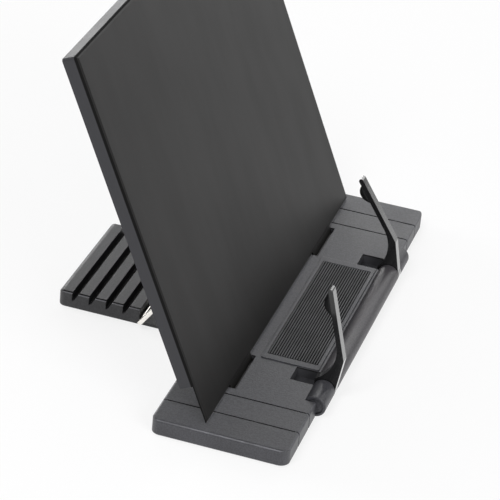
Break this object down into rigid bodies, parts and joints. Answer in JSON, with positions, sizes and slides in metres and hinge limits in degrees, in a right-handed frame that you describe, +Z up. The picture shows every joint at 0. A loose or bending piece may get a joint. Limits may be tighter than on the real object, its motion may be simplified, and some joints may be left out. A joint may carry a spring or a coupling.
{
  "type": "book stand",
  "caption": "Folding desk stand with a leaning sheet panel on a low crossbar, a wire prop set on a toothed foot, a ribbed ledge pad and friction-hinged page holders.",
  "frame": {"origin": "on the desk, under the middle of the whole stand's length and depth", "axes": "+X along the crossbar to the right as seen from the reader, +Y away from the reader, +Z up"},
  "size_m": [0.32, 0.1964, 0.2295],
  "materials": {
    "moulded_black": "fine grain",
    "moulded_dark": "satin",
    "soft_rubber": "matt",
    "coated_sheet": "satin enamel",
    "bright_wire": "bright plated",
    "plain_steel": "plain"
  },
  "bodies": {
    "base": {"crossbar_cover": "moulded_black", "crossbar_floor": "moulded_dark", "ratchet_foot": "moulded_black", "pad_frame": "moulded_black", "grip_pad": "soft_rubber", "barrel_cover": "moulded_black", "left_barrel_cap": "moulded_black", "right_barrel_cap": "moulded_black", "barrel_axle": "plain_steel", "left_friction_washers": "plain_steel", "right_friction_washers": "plain_steel", "left_hinge_pin": "plain_steel", "right_hinge_pin": "plain_steel", "crossbar_feet": "soft_rubber", "ratchet_feet": "soft_rubber", "floor_screws": "plain_steel", "barrel_screws": "plain_steel", "ratchet_screws": "plain_steel"},
    "panel": {"panel_sheet": "coated_sheet", "left_prop_saddle": "plain_steel", "right_prop_saddle": "plain_steel"},
    "prop": {"prop_wire": "bright_wire"},
    "left_holder": {"left_arm": "moulded_dark", "left_arm_pad": "soft_rubber"},
    "right_holder": {"right_arm": "moulded_dark", "right_arm_pad": "soft_rubber"}
  },
  "joints": [
    {"name": "panel_tilt", "type": "hinge", "parent": "base", "child": "panel", "pos_m": [0, -0.03927, 0.0062], "axis": [1, 0, 0], "range_deg": [0, 22]},
    {"name": "prop_swing", "type": "hinge", "parent": "panel", "child": "prop", "pos_m": [0, -0.00731, 0.07408], "axis": [1, 0, 0], "range_deg": [-27, 0]},
    {"name": "left_holder_swing", "type": "hinge", "parent": "base", "child": "left_holder", "pos_m": [-0.0761, -0.08818, 0.0072], "axis": [1, 0, 0], "range_deg": [-38, 75]},
    {"name": "right_holder_swing", "type": "hinge", "parent": "base", "child": "right_holder", "pos_m": [0.0761, -0.08818, 0.0072], "axis": [1, 0, 0], "range_deg": [-18.5, 94.5]}
  ],
  "couplings": [
    {"joint": "prop_swing", "follows": "panel_tilt", "ratio": -1.2}
  ]
}
